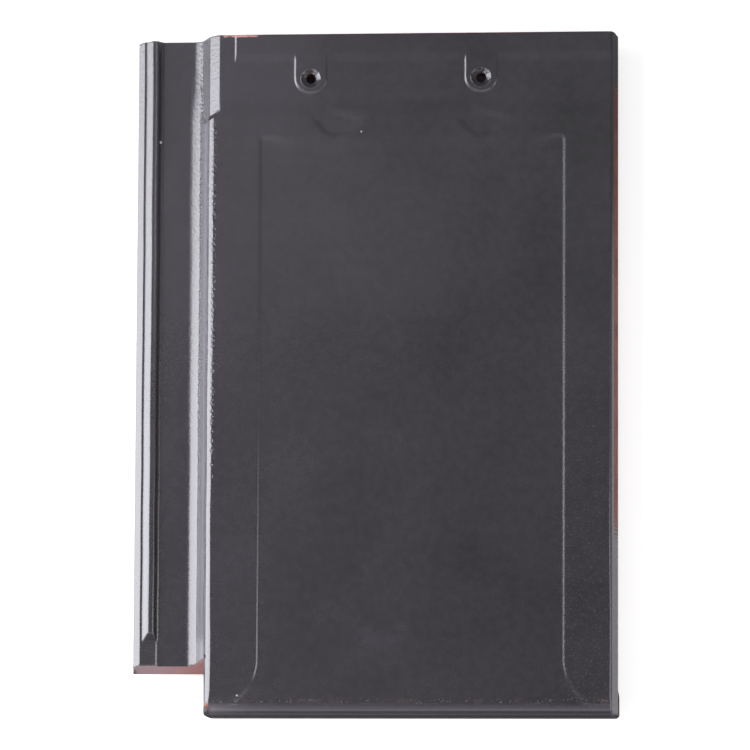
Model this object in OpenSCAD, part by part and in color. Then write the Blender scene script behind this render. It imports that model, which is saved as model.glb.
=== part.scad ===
// Flat interlocking clay roof tile, fired in one piece.
// Millimetres. The tile lies face up: +X across the slope towards the cover lap, +Y up the slope towards the
// head, +Z out of the face. Every place below is measured from the left edge, the foot or the head, and the
// finished tile is moved so that the origin is the centre of its footprint on the resting plane.

/* [Overall] */
// Width over the side channel and the plate
tile_w = 300; // [290:1:320]
// Length from foot to head
tile_l = 424; // [400:1:450]
// Height from the resting plane to the face
tile_h = 30; // [29:0.5:34]
// Thickness of the plate over the hollows of the underside
skin = 12.5; // [10:0.5:14]
// How far the head end leans back from the face down to the resting plane
head_lean = 4.5; // [2:0.5:6]
// Radius along the head edge of the face
head_r = 1; // [0.5:0.1:2]
// Size of the small chamfers on the corners, seen from above
corner_cut = 3; // [1:0.5:5]

/* [Side channel] */
// Depth of the channel floor below the face
channel_depth = 14; // [13:0.25:15]
// Thickness of the channel floor
channel_floor = 8.5; // [7:0.25:9.5]
// Width of the bevel along the outer edge
edge_bevel_w = 4; // [3:0.1:5]
// Height of that bevel
edge_bevel_h = 2.2; // [1.5:0.1:3]
// Ledge between the bevel and the upstand
ledge_w = 1.5; // [0.8:0.1:2]
// Height of that ledge above the channel floor
ledge_h = 0.6; // [0.3:0.1:1]
// Height of the upstand above the channel floor
upstand_h = 2.9; // [2.4:0.1:4]
// Run of the upstand's outer flank
upstand_outer_run = 3.2; // [2.8:0.1:4.5]
// Width of the upstand's crest
upstand_crest = 3.5; // [3:0.1:4.5]
// Run of the upstand's inner flank
upstand_inner_run = 2.2; // [1.8:0.1:3.5]
// Width of the flat channel floor
floor_w = 21.5; // [20:0.1:24]
// Width of the floor's rising edge beside the plate
shelf_run = 3.5; // [3.3:0.1:5]
// How far that edge rises
shelf_rise = 1.7; // [1.2:0.1:1.8]
// Radius where the floor starts to rise
shelf_r = 14; // [6:0.5:14]
// Run of the steep step from there to the plate's side
step_run = 5.8; // [5:0.1:6.5]
// Rise of that step
step_rise = 6.7; // [6:0.1:7]
// Radius at the foot of the step
step_r = 1; // [0.5:0.1:1.2]
// Radius along the plate's edge above the channel
plate_edge_r = 5; // [3:0.1:5.2]
// Distance from the foot to the channel's cut-back end
channel_foot = 27; // [22:0.5:34]
// Slope of that end, run for each millimetre of height
channel_foot_slope = 0.52; // [0.3:0.01:0.7]
// Distance from the foot to the end of the upstand
upstand_foot = 47; // [44:0.5:60]
// Run of the upstand's sloping end
upstand_foot_run = 5; // [3:0.5:8]

/* [Cut-back head corner] */
// Length of the cut-back over the channel floor, from the head
cutback_l_floor = 57; // [54:0.5:70]
// Length of the cut-back at the face, from the head
cutback_l_face = 49.5; // [44:0.5:54]
// How far the channel's rising edge moves back there
cutback_shelf = 1.3; // [1:0.1:1.8]
// Run of the step that stays there
cutback_step_run = 5.3; // [4.8:0.1:5.8]
// Rise of that step
cutback_step_rise = 8.1; // [7.4:0.1:8.6]
// Run of the bevel from the step up to the face
cutback_bevel_run = 7.5; // [6.5:0.1:8.5]
// Radius along the top of the bevel
cutback_r = 6; // [4:0.5:9]
// How far the channel floor drops there
cutback_drop = 0.4; // [0.2:0.1:0.8]

/* [Cover lap] */
// How far a tile reaches over the next tile in its course
side_lap = 38; // [36:0.25:38]
// Clearance between a tile and the channel under it
lap_clearance = 1.2; // [0.8:0.1:1.6]
// Height of the cover lap's outer edge
lap_edge_h = 9.4; // [8.5:0.1:10]
// How far that edge leans out from the face down
lap_edge_run = 3.8; // [2.5:0.1:5]
// Radius along the top of that edge
lap_edge_r = 2.6; // [1.5:0.1:3.5]
// Width of the rib that hangs into the next tile's channel
hanging_rib_w = 8; // [6:0.5:10]
// Run of the hanging rib's flanks
hanging_rib_run = 2; // [1:0.25:2.5]
// Gap between the root of the lap and the next tile's outer edge
root_gap = 2.6; // [2:0.1:4]

/* [Nose and nibs] */
// Radius of the bullnose along the foot
nose_r = 6.5; // [4:0.5:9]
// Width of the lip under the nose where it rests
lip_w = 13; // [10:0.5:18]
// Run of the lip's inner face
lip_run = 4; // [2:0.5:6]
// Chamfer along the bottom of the lip
lip_chamfer = 1.5; // [0.5:0.25:2.5]
// Distance from the head to the nibs' bearing faces
nib_bearing = 17; // [16:0.5:20]
// Depth of a nib where it rests, along the slope
nib_depth = 9; // [7:0.5:11]
// Width of a nib where it rests
nib_w = 42; // [30:1:60]
// Taper of a nib's free sides
nib_taper = 3; // [1.5:0.25:4]
// Distance between the centres of the two nibs
nib_spacing = 124; // [110:1:140]

/* [Face relief] */
// Depth of the sunk panel, head zone and foot strip
relief = 0.8; // [0.5:0.1:1.2]
// Run of the sloping sides of the relief
relief_run = 2.4; // [1:0.1:3]
// Distance from the left edge to the panel
panel_left = 77.5; // [72:0.5:84]
// Distance from the right edge to the panel
panel_right = 32.5; // [26:0.5:38]
// Distance from the head to the panel
panel_head = 63; // [61:0.5:70]
// Width of the raised bar between the panel and the head zone
bar_w = 10; // [8:0.5:11]
// Width of the sunk strip along the foot
foot_strip = 15; // [13:0.5:20]
// Run of the sloping sides that lie across the slope
cross_run = 8; // [3:0.5:10]
// Length of the panel's flare above the foot strip
flare_l = 20; // [14:0.5:24]
// Radius of that flare
flare_r = 30; // [26:0.5:40]
// Width of a drain gap through the bar, on the head side
drain_w_head = 38; // [34:1:42]
// Width of a drain gap on the panel side
drain_w_panel = 22.5; // [18:0.5:28]
// Distance between the two drain gaps
drain_spacing = 90; // [80:1:100]
// Width of the raised strip along the head
head_strip = 11; // [8:0.5:14]
// Distance from the left edge to that strip
head_strip_x = 63; // [59:0.5:66]

/* [Nail holes] */
// Distance from the head to the holes
hole_head = 28; // [26:0.5:32]
// Distance from the left edge to the first hole
hole_left = 109.5; // [104:0.5:116]
// Distance between the holes
hole_spacing = 106; // [100:1:112]
// Diameter of a hole
hole_d = 6; // [4.5:0.25:7]
// Diameter of the countersink at the face
sink_d = 12.4; // [10:0.2:14]
// Depth of the countersink
sink_depth = 2.4; // [1.5:0.1:4]
// Width of the raised land round a hole
land_w = 18.4; // [16:0.2:22]
// Run of the land's sloping sides
land_run = 1.2; // [0.8:0.1:2]

/* [Underside] */
// Width of the rib beside the channel wall
side_rib_w = 14; // [10:0.5:18]
// Width of the rib at the root of the cover lap
root_rib_w = 14; // [10:0.5:18]
// Width of the cross rib under the head
head_rib_w = 18; // [14:0.5:22]
// Width of the cross rib at mid length
mid_rib_w = 14; // [10:0.5:20]
// Draft of the hollows' sides
hollow_draft = 4; // [2:0.5:6]

/* [Hidden] */
$fn = 48;
past = 1;
floor_z = tile_h - channel_depth;
under_z = floor_z - channel_floor;
ledge_z = floor_z + ledge_h;
outer_z = ledge_z - edge_bevel_h;
side_land = 1.5;
crest_z = floor_z + upstand_h;
upstand_x = edge_bevel_w + ledge_w;
crest_x = upstand_x + upstand_outer_run;
upstand_end_x = crest_x + upstand_crest + upstand_inner_run;
floor_start_x = upstand_end_x + 1.4;
shelf_x = upstand_end_x + floor_w;
step_x = shelf_x + shelf_run;
plate_x = step_x + step_run;
shelf_z = floor_z + shelf_rise;
step_z = shelf_z + step_rise;
plate_mid = (plate_x + tile_w) / 2;
cover_pitch = tile_w - side_lap;
lap_edge_z = tile_h - lap_edge_h;
groove_z = crest_z + lap_clearance;
hanging_z = floor_z + lap_clearance;
hanging_mid = cover_pitch + (upstand_end_x + shelf_x) / 2;
hanging_half = hanging_rib_w / 2;
root_x = cover_pitch - root_gap;
root_draft = 1.5;
hollow_x0 = plate_x + side_rib_w;
hollow_x1 = root_x - root_rib_w;
hollow_y0 = lip_w + lip_run;
hollow_y1 = tile_l - head_rib_w;
hollow_z = tile_h - skin;
hole_y = tile_l - hole_head;

// The points of an arc that rounds corner b, between its neighbours a and c
function corner_arc(a, b, c, r, steps = 6) =
    let (u = (a - b) / norm(a - b), v = (c - b) / norm(c - b), half = acos(u * v) / 2,
         centre = b + (u + v) / norm(u + v) * r / sin(half),
         p = b + u * r / tan(half) - centre, q = b + v * r / tan(half) - centre,
         start = atan2(p.y, p.x), turn = atan2(p.x * q.y - p.y * q.x, p * q))
    [for (i = [0 : steps]) centre + r * [cos(start + turn * i / steps), sin(start + turn * i / steps)]];

// An outline whose corners [x, y, radius] are rounded where the radius is above zero
function rounded(corners) =
    let (count = len(corners), at = function (i) [corners[(i + count) % count].x, corners[(i + count) % count].y])
    [for (i = [0 : count - 1])
        each corners[i][2] > 0 ? corner_arc(at(i - 1), at(i), at(i + 1), corners[i][2]) : [at(i)]];

// A cross-section (x, z) carried along the slope
module along_y(y0, y1) {
    translate([0, y1, 0]) rotate([90, 0, 0]) linear_extrude(y1 - y0) children();
}

// A side profile (y, z) carried across the slope
module along_x(x0, x1) {
    translate([x0, 0, 0]) rotate([90, 0, 90]) linear_extrude(x1 - x0) children();
}

// The cross-section: channel with its upstand, step, plate and cover lap
module section() {
    polygon(rounded([
        [1, under_z, 1.5], [0, outer_z - side_land, 0], [0, outer_z, 0.6],
        [edge_bevel_w, ledge_z, 1], [upstand_x, ledge_z, 1],
        [crest_x, crest_z, 3], [crest_x + upstand_crest, crest_z, 1.2],
        [upstand_end_x, floor_z, 1.2], [shelf_x, floor_z, shelf_r],
        [step_x, shelf_z, step_r], [plate_x, step_z, 0],
        [plate_x, tile_h, plate_edge_r], [tile_w - lap_edge_run, tile_h, lap_edge_r],
        [tile_w, lap_edge_z + side_land, 0], [tile_w, lap_edge_z, 0.8],
        [hanging_mid + hanging_half + hanging_rib_run, lap_edge_z, 0],
        [hanging_mid + hanging_half, hanging_z, 1], [hanging_mid - hanging_half, hanging_z, 1],
        [hanging_mid - hanging_half - hanging_rib_run, groove_z, 1],
        [root_x + root_draft, groove_z, 2], [root_x, under_z, 1.5]]));
}

// What the plate's edges leave for the nose
module plate_envelope() {
    polygon([[plate_x, 0], [plate_x, tile_h - plate_edge_r], [plate_x + plate_edge_r, tile_h - past],
             [tile_w - lap_edge_run - lap_edge_r, tile_h - past],
             [tile_w - lap_edge_run / 2, tile_h - lap_edge_h / 2], [tile_w, lap_edge_z + side_land],
             [tile_w, 0]]);
}

// The lip that hangs under the nose, over the whole width of the plate
module nose_lip() {
    intersection() {
        along_x(plate_x, tile_w)
            polygon([[0, 0], [lip_w, 0], [lip_w + lip_run, groove_z + past], [0, groove_z + past]]);
        along_y(-past, tile_l) plate_envelope();
    }
}

// The whole length seen from the side: bullnose at the foot, head end leaning back
module side_profile() {
    polygon(rounded([[lip_chamfer, 0, 0], [0, lip_chamfer, 0], [0, tile_h, nose_r],
                     [tile_l, tile_h, head_r], [tile_l, tile_h - head_r - side_land, 0],
                     [tile_l - head_lean, 0, 0]]));
}

// Takes the channel away at the foot and leaves its sloping end
module foot_notch() {
    end_top = tile_h + past;
    along_x(-past, plate_x)
        polygon([[-past, -past], [channel_foot, -past], [channel_foot, under_z],
                 [channel_foot + channel_foot_slope * (end_top - under_z), end_top], [-past, end_top]]);
}

// Takes the upstand away near the channel's foot, down to its ledge
module upstand_end() {
    top = crest_z + past;
    along_x(-past, upstand_end_x - 1.2)
        polygon([[-past, ledge_z], [upstand_foot, ledge_z],
                 [upstand_foot + upstand_foot_run * (top - ledge_z) / (crest_z - ledge_z), top], [-past, top]]);
}

// Moves the plate's edge back at the head, where the nose of the next course comes over it
module head_cutback() {
    low_z = floor_z - cutback_drop;
    top = tile_h + past;
    shelf_back = shelf_x + cutback_shelf;
    step_back = shelf_back + shelf_run;
    bevel_x = step_back + cutback_step_run;
    face_x = bevel_x + cutback_bevel_run;
    end_x = face_x + cutback_r;
    intersection() {
        along_y(tile_l - cutback_l_floor, tile_l + past)
            polygon(rounded([
                [floor_start_x, low_z, 0], [shelf_back, low_z, shelf_r],
                [step_back, low_z + shelf_rise, step_r], [bevel_x, low_z + shelf_rise + cutback_step_rise, 2],
                [face_x, tile_h, cutback_r], [end_x, tile_h, 0], [end_x, top, 0], [floor_start_x, top, 0]]));
        linear_extrude(top + past)
            polygon([[0, tile_l - cutback_l_floor], [shelf_back, tile_l - cutback_l_floor],
                     [face_x, tile_l - cutback_l_face], [end_x + past, tile_l - cutback_l_face],
                     [end_x + past, tile_l + past], [0, tile_l + past]]);
    }
}

// Cuts one corner of the plan
module corner_chamfer(x, y) {
    side = corner_cut * sqrt(2);
    translate([x, y, tile_h / 2]) rotate([0, 0, 45]) cube([side, side, tile_h + 2 * past], center = true);
}

// A shallow cut to the right of the line p to q, with a sloping side along that line
module relief_slab(p, q, reach, over = 6, depth = relief, run = relief_run) {
    line = q - p;
    translate([p.x, p.y, tile_h]) rotate([0, 0, atan2(line.y, line.x)]) translate([-over, 0, 0])
        rotate([90, 0, 90]) linear_extrude(norm(line) + 2 * over)
            polygon([[run / depth, 1], [-run, -depth], [-reach, -depth], [-reach, 1]]);
}

// One sloping facet of the arc in which the panel's left side flares towards the foot strip
module flare_facet(turn) {
    facet = flare_r * tan(6) * [sin(turn), cos(turn)];
    middle = [panel_left - flare_r * (1 - cos(turn)), foot_strip + flare_l - flare_r * sin(turn)];
    relief_slab(middle - facet, middle + facet, flare_l);
}

// The sunk panel, open to the foot strip through its flares
module panel_relief() {
    x0 = panel_left;
    x1 = tile_w - panel_right;
    y1 = tile_l - panel_head;
    intersection() {
        relief_slab([x0, 0], [x0, y1], tile_w);
        relief_slab([x1, y1], [x1, 0], tile_w);
        relief_slab([x0, y1], [x1, y1], y1 + past, run = cross_run);
    }
    for (turn = [10, 22, 34]) {
        flare_facet(turn);
        translate([x0 + x1, 0, 0]) mirror([1, 0, 0]) flare_facet(turn);
    }
}

// One funnel-shaped drain gap through the raised bar
module drain_gap(x) {
    low = tile_l - panel_head;
    high = low + bar_w;
    intersection() {
        relief_slab([x - drain_w_panel / 2, low], [x - drain_w_head / 2, high], drain_w_head);
        relief_slab([x + drain_w_head / 2, high], [x + drain_w_panel / 2, low], drain_w_head);
    }
}

// Everything that is sunk into the face; the head zone leaves the raised strip along the head
module face_relief() {
    zone_y = tile_l - panel_head + bar_w;
    strip_y = tile_l - head_strip;
    panel_relief();
    relief_slab([0, foot_strip], [tile_w, foot_strip], foot_strip + past, run = cross_run);
    for (side = [-1, 1]) drain_gap(plate_mid + side * drain_spacing / 2);
    intersection() {
        relief_slab([tile_w, zone_y], [0, zone_y], panel_head, run = cross_run);
        union() {
            relief_slab([0, strip_y], [tile_w, strip_y], panel_head, run = cross_run);
            relief_slab([head_strip_x, tile_l], [head_strip_x, tile_l - panel_head], head_strip_x);
        }
    }
}

// The raised U-shaped land round one nail hole, which runs into the strip along the head
module nail_land(x) {
    low = tile_h - relief - past;
    spread = land_run * (relief + past) / relief;
    half = land_w / 2;
    translate([x, hole_y, low]) cylinder(h = relief + past, r1 = half + spread, r2 = half);
    along_y(hole_y, tile_l - head_strip)
        polygon([[x - half - spread, low], [x + half + spread, low], [x + half, tile_h], [x - half, tile_h]]);
}

// One nail hole with its countersink
module nail_hole(x) {
    translate([x, hole_y, 0]) {
        translate([0, 0, -past]) cylinder(h = tile_h + 2 * past, d = hole_d);
        translate([0, 0, tile_h - sink_depth])
            cylinder(h = sink_depth + past, d1 = hole_d,
                     d2 = sink_d + (sink_d - hole_d) * past / sink_depth);
    }
}

// One hollow of the underside, with drafted sides
module hollow(y0, y1) {
    low = under_z - past;
    spread = hollow_draft * (hollow_z - low) / (hollow_z - under_z);
    intersection() {
        along_y(y0, y1)
            polygon([[hollow_x0 + hollow_draft - spread, low], [hollow_x1 - hollow_draft + spread, low],
                     [hollow_x1 - hollow_draft, hollow_z], [hollow_x0 + hollow_draft, hollow_z]]);
        along_x(hollow_x0 - past, hollow_x1 + past)
            polygon([[y0 + hollow_draft - spread, low], [y1 - hollow_draft + spread, low],
                     [y1 - hollow_draft, hollow_z], [y0 + hollow_draft, hollow_z]]);
    }
}

// One nib that hooks over the batten; its bearing face is upright and looks down the slope
module nib(x) {
    bearing_y = tile_l - nib_bearing;
    half = nib_w / 2;
    top = under_z + past;
    spread = nib_taper * top / under_z;
    intersection() {
        along_y(bearing_y, tile_l)
            polygon([[x - half, 0], [x + half, 0], [x + half + spread, top], [x - half - spread, top]]);
        along_x(x - nib_w, x + nib_w)
            polygon([[bearing_y, 0], [bearing_y + nib_depth, 0],
                     [bearing_y + nib_depth + spread / 2, top], [bearing_y, top]]);
    }
}

// The fired body before the face is worked
module body() {
    hollow_mid = (hollow_y0 + hollow_y1) / 2;
    difference() {
        intersection() {
            union() {
                along_y(-past, tile_l + past) section();
                nose_lip();
            }
            along_x(-past, tile_w + past) side_profile();
        }
        foot_notch();
        upstand_end();
        head_cutback();
        corner_chamfer(plate_x, 0);
        corner_chamfer(tile_w, 0);
        corner_chamfer(tile_w, tile_l);
        corner_chamfer(0, tile_l);
        hollow(hollow_y0, hollow_mid - mid_rib_w / 2);
        hollow(hollow_mid + mid_rib_w / 2, hollow_y1);
    }
    for (side = [-1, 1]) nib(plate_mid + side * nib_spacing / 2);
}

// The whole tile
module roof_tile() {
    color("#4b4a50") translate([-tile_w / 2, -tile_l / 2, 0]) difference() {
        union() {
            difference() {
                body();
                face_relief();
            }
            for (i = [0, 1]) nail_land(hole_left + i * hole_spacing);
        }
        for (i = [0, 1]) nail_hole(hole_left + i * hole_spacing);
    }
}

roof_tile();
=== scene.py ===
# %% [markdown]
# # A flat interlocking roof tile
# The real tile is one slab of clay. It was pressed between two moulds, coated with a slate-grey glaze on
# its face and fired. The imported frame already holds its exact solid, so this lesson adds what a solid
# cannot show: the soft edges that melted glaze leaves, the bare clay where no glaze reached, and the
# gloss of the glaze itself. Everything below is worked out in the frame's own axes: X across the tile, Y
# up the slope, Z out of the face.

# %% Load the frame
import bpy
import bmesh
import numpy as np
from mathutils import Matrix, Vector


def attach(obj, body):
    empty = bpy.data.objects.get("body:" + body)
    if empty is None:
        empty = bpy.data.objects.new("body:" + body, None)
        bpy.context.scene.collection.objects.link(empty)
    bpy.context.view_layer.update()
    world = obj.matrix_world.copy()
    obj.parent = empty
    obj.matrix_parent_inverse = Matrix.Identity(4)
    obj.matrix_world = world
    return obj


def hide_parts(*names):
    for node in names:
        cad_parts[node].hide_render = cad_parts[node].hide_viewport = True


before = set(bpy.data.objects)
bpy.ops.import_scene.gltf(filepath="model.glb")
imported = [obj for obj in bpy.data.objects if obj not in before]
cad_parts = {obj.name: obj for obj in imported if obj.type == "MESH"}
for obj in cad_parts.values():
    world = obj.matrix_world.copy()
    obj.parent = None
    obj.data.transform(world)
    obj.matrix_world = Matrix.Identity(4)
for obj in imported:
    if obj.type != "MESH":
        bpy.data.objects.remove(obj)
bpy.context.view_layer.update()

# %% [markdown]
# ## The camera
# The photograph was taken from almost straight above with a long lens. Place, tilt and focal length come
# from a camera fitted to the straight edges of the tile, so they are plain numbers here. A long lens
# keeps the sides of the tile nearly parallel, which a short lens close by would not do.

# %% Camera
camera_data = bpy.data.cameras.new("camera")
camera_data.sensor_fit = "HORIZONTAL"
camera_data.sensor_width = 36
camera_data.lens = 264
camera_data.clip_end = 60
camera = bpy.data.objects.new("camera", camera_data)
camera.location = (0.28699, -0.38436, 3.38701)
camera.rotation_euler = np.radians((6.505, 4.844, 0.295))
bpy.context.scene.collection.objects.link(camera)
bpy.context.scene.camera = camera
print("camera", round(camera.location.length, 3), "m from the tile's centre")

# %% [markdown]
# ## Writing shader maths as sums
# Clicking Math nodes together is slow to read. The two small classes here let a material be written as an
# expression: a Value stands for one socket, and adding, subtracting, multiplying or dividing two of them
# adds a Math node. Any other node is made by one method, which takes the node's type, its settings and
# what goes into its sockets.

# %% Shader helpers
class Value:
    """One output socket. An operator between values, or a value and a number, adds one Math node."""

    def __init__(self, tree, socket):
        self.tree = tree
        self.socket = socket

    def math(self, operation, first, second):
        return self.tree.node("ShaderNodeMath", {"operation": operation}, {0: first, 1: second})

    def __add__(self, other):
        return self.math("ADD", self, other)

    def __radd__(self, other):
        return self.math("ADD", other, self)

    def __sub__(self, other):
        return self.math("SUBTRACT", self, other)

    def __rsub__(self, other):
        return self.math("SUBTRACT", other, self)

    def __mul__(self, other):
        return self.math("MULTIPLY", self, other)

    def __rmul__(self, other):
        return self.math("MULTIPLY", other, self)

    def __truediv__(self, other):
        return self.math("DIVIDE", self, other)

    def __rtruediv__(self, other):
        return self.math("DIVIDE", other, self)


class Tree:
    """A node tree that makes nodes from a type, settings and socket values."""

    def __init__(self, owner):
        owner.use_nodes = True
        self.nodes = owner.node_tree.nodes
        self.links = owner.node_tree.links
        self.nodes.clear()

    def node(self, kind, settings=None, sockets=None, output=0):
        made = self.nodes.new(kind)
        for name, setting in (settings or {}).items():
            setattr(made, name, setting)
        for name, value in (sockets or {}).items():
            if isinstance(value, Value):
                self.links.new(value.socket, made.inputs[name])
            else:
                made.inputs[name].default_value = value
        return Value(self, made.outputs[output]) if made.outputs else made

    def mix(self, factor, first, second):
        """The colour that lies the given share of the way from the first colour to the second."""
        settings = {"data_type": "RGBA", "clamp_factor": True}
        return self.node("ShaderNodeMix", settings, {0: factor, 6: first, 7: second}, 2)

    def step(self, value, low, high):
        """0 below low, 1 above high, and a smooth S between them."""
        settings = {"interpolation_type": "SMOOTHSTEP"}
        sockets = {"Value": value, "From Min": low, "From Max": high}
        return self.node("ShaderNodeMapRange", settings, sockets)

    def noise(self, place, scale, detail=2.0, roughness=0.5):
        """Cloudy noise between about 0 and 1; scale is the number of clouds in a metre."""
        sockets = {"Vector": place, "Scale": scale, "Detail": detail, "Roughness": roughness}
        return self.node("ShaderNodeTexNoise", None, sockets)


def linear(red, green, blue):
    """A colour read off a picture (0 to 255) turned into the linear colour that shaders use."""
    share = np.array((red, green, blue)) / 255
    curve = np.where(share > 0.04045, ((share + 0.055) / 1.055) ** 2.4, share / 12.92)
    return (*curve.tolist(), 1.0)


print("mid grey 128 is", round(linear(128, 128, 128)[0], 3), "in linear light")

# %% [markdown]
# ## Floor, room and lamps
# The tile lies on a pale floor in a pale room. The floor glows a little for rays that come straight from
# the camera, which makes it look white without lighting the tile, and less for rays that come from a
# glossy surface. The part of the floor below the tile does not glow, so that no light leaks out through
# the nail holes.

# %% Floor and room
floor_mesh = bpy.data.meshes.new("floor")
reach = 12.0
floor_corners = [(-reach, -reach, 0), (reach, -reach, 0), (reach, reach, 0), (-reach, reach, 0)]
floor_mesh.from_pydata(floor_corners, [], [(0, 1, 2, 3)])
floor = bpy.data.objects.new("floor", floor_mesh)
bpy.context.scene.collection.objects.link(floor)

floor_paint = bpy.data.materials.new("pale_floor")
tree = Tree(floor_paint)
camera_ray = tree.node("ShaderNodeLightPath", None, None, "Is Camera Ray")
glossy_ray = tree.node("ShaderNodeLightPath", None, None, "Is Glossy Ray")
clear_ray = tree.node("ShaderNodeLightPath", None, None, "Is Transmission Ray")
floor_place = tree.node("ShaderNodeTexCoord", None, None, "Object")
floor_x, floor_y = (tree.node("ShaderNodeSeparateXYZ", None, {0: floor_place}, axis) for axis in "XY")
off_x = tree.node("ShaderNodeMath", {"operation": "ABSOLUTE"}, {0: floor_x})
off_y = tree.node("ShaderNodeMath", {"operation": "ABSOLUTE"}, {0: floor_y})
beneath = (1 - tree.step(off_x, 0.08, 0.12)) * (1 - tree.step(off_y, 0.19, 0.21))
seen = (camera_ray + clear_ray) * 0.56 + glossy_ray * 0.10
lift = tree.node("ShaderNodeEmission", None, {"Color": (1, 1, 1, 1), "Strength": seen * (1 - beneath)})
matt = tree.node("ShaderNodeBsdfDiffuse", None, {"Color": (0.80, 0.80, 0.80, 1)})
both = tree.node("ShaderNodeAddShader", None, {0: matt, 1: lift})
tree.node("ShaderNodeOutputMaterial", None, {"Surface": both})
floor_mesh.materials.append(floor_paint)

room = bpy.data.worlds.new("pale_room")
bpy.context.scene.world = room
tree = Tree(room)
camera_ray = tree.node("ShaderNodeLightPath", None, None, "Is Camera Ray")
room_light = 0.25 + camera_ray * 0.75
glow = tree.node("ShaderNodeBackground", None, {"Color": (1, 1, 1, 1), "Strength": room_light})
tree.node("ShaderNodeOutputWorld", None, {"Surface": glow})
print("floor", 2 * reach, "m wide")

# %% [markdown]
# ## Lamps
# A tall softbox stands on the left, since every slope that faces left carries a broad bright band. A
# second one near the left front corner lights the nose, and a smaller one at the lower right puts a thin
# line on the slopes that face it. A wide, weak panel over the foot evens out the face. A softbox is an
# area lamp: its brightness is its power divided by pi times its area. Together the lamps give the face
# about as much light as makes a colour look the way it is written.

# %% Lamps
def softbox(name, place, target, width, height, radiance):
    """An area lamp of the given size at a place, turned to its target; power = radiance x pi x area."""
    data = bpy.data.lights.new(name, "AREA")
    data.shape = "RECTANGLE"
    data.size = width
    data.size_y = height
    data.energy = radiance * np.pi * width * height
    lamp = bpy.data.objects.new(name, data)
    lamp.location = place
    away = lamp.location - Vector(target)
    lamp.rotation_euler = away.to_track_quat("Z", "Y").to_euler()
    bpy.context.scene.collection.objects.link(lamp)
    print(name, "gives", round(data.energy, 1), "W")
    return lamp


key_lamp = softbox("left_softbox", (-1.20, 0.12, 0.98), (0, 0.12, 0.60), 0.9, 1.86, 7.7)
softbox("right_softbox", (0.85, -0.38, 1.25), (0, -0.38, 0), 0.76, 0.8, 3.6)
softbox("corner_softbox", (-1.05, -1.05, 0.95), (0, 0.1, 0.3), 0.5, 1.2, 4.0)
softbox("front_panel", (0, -1.28, 3.0), (0, -0.1, 0), 2.0, 1.35, 1.2)
key_lamp.data.color = (0.93, 0.935, 1.0)
bpy.context.scene.view_settings.view_transform = "Standard"

# %% [markdown]
# ## The tile's measures
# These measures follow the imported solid, in millimetres from the left edge, the foot and the resting
# plane. Only the relief differs: glaze fills it, so it is shallower here and its edges run out further.
# Three tools turn measures into surfaces. A rounded profile is a line through corners with an arc in
# each. A soft step is an S-shaped ramp, because glaze never leaves a sharp edge. Rolling waves stand for
# the slight unevenness of fired clay.

# %% Measures
tile_w = 300.0
tile_l = 424.0
tile_h = 30.0
plate_x = 45.2
channel_foot = 27.0
foot_slope = 0.52
under_z = 7.5
ledge_z = 16.6
panel_x0 = 77.5
panel_x1 = 267.5
panel_y1 = 361.0
bar_w = 10.0
foot_strip = 15.0
relief = 0.46
relief_run = 2.4
cross_run = 12.0
flare_r = 30.0
hole_x = np.array((109.5, 215.5))
hole_y = 396.0
hole_r = 3.0
sink_r = 6.2
sink_depth = 2.4
nose_r = 6.5
upstand_foot = 47.0
head_strip_x = 63.0
head_strip_y = 413.0
gap_middles = (127.6, 217.6)
gap_half = 11.25
gap_half_wide = 19.0
land_r = 10.4
nib_middles = (110.6, 234.6)
nib_half = 21.0
hollow_x = (59.2, 245.4)
hollows_y = ((17.0, 204.5), (218.5, 406.0))
hollow_depth = 10.0
above_all = 40.0
print("tile", tile_w, "x", tile_l, "x", tile_h, "mm, relief", relief, "mm")


# %% Profiles and steps
def rounded_profile(corners, steps=12):
    """A line through corners (place, height, radius); each radius above zero gives an arc."""
    corners = np.array(corners, float)
    parts = [corners[:1, :2]]
    for before, (x, z, radius), after in zip(corners[:-2, :2], corners[1:-1], corners[2:, :2]):
        corner = np.array((x, z))
        back = (before - corner) / np.linalg.norm(before - corner)
        ahead = (after - corner) / np.linalg.norm(after - corner)
        half = np.arccos(np.clip(back @ ahead, -1, 1)) / 2
        if radius == 0:
            parts.append(corner[None])
            continue
        centre = corner + (back + ahead) / np.linalg.norm(back + ahead) * radius / np.sin(half)
        start = corner + back * radius / np.tan(half) - centre
        end = corner + ahead * radius / np.tan(half) - centre
        angle = np.arctan2(start[1], start[0])
        turn = np.arctan2(start[0] * end[1] - start[1] * end[0], start @ end)
        angles = angle + turn * np.linspace(0, 1, steps)
        parts.append(centre + radius * np.stack((np.cos(angles), np.sin(angles)), 1))
    parts.append(corners[-1:, :2])
    return np.concatenate(parts).T


def soft_step(distance, run):
    """0 up to distance 0, 1 from distance run on, and the smooth S 3t^2 - 2t^3 between."""
    t = np.clip(distance / run, 0, 1)
    return t * t * (3 - 2 * t)


def rolling(u, v, length, seed):
    """Gentle waves between about -1 and 1: the mean of ten seeded plane waves of about the given length."""
    rng = np.random.default_rng(seed)
    turn = rng.uniform(0, 2 * np.pi, 10)
    pitch = 2 * np.pi / (length * rng.uniform(0.7, 1.6, 10))
    phase = rng.uniform(0, 2 * np.pi, 10)
    place = u[..., None] * np.cos(turn) + v[..., None] * np.sin(turn)
    return np.sin(place * pitch + phase).mean(-1) * 2.2


print("a quarter of the way, a soft step has reached", soft_step(0.25, 1.0))

# %% [markdown]
# ## The cross-section
# Seen from the foot, the tile's top runs from the outer edge of the side channel over a low upstand, the
# channel floor and a steep step up to the plate, and ends in the drafted edge of the cover lap. Near the
# head the plate's edge is cut back to a broad bevel. Both lines are kept as profiles, and a height is
# read off them for any place.

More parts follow.
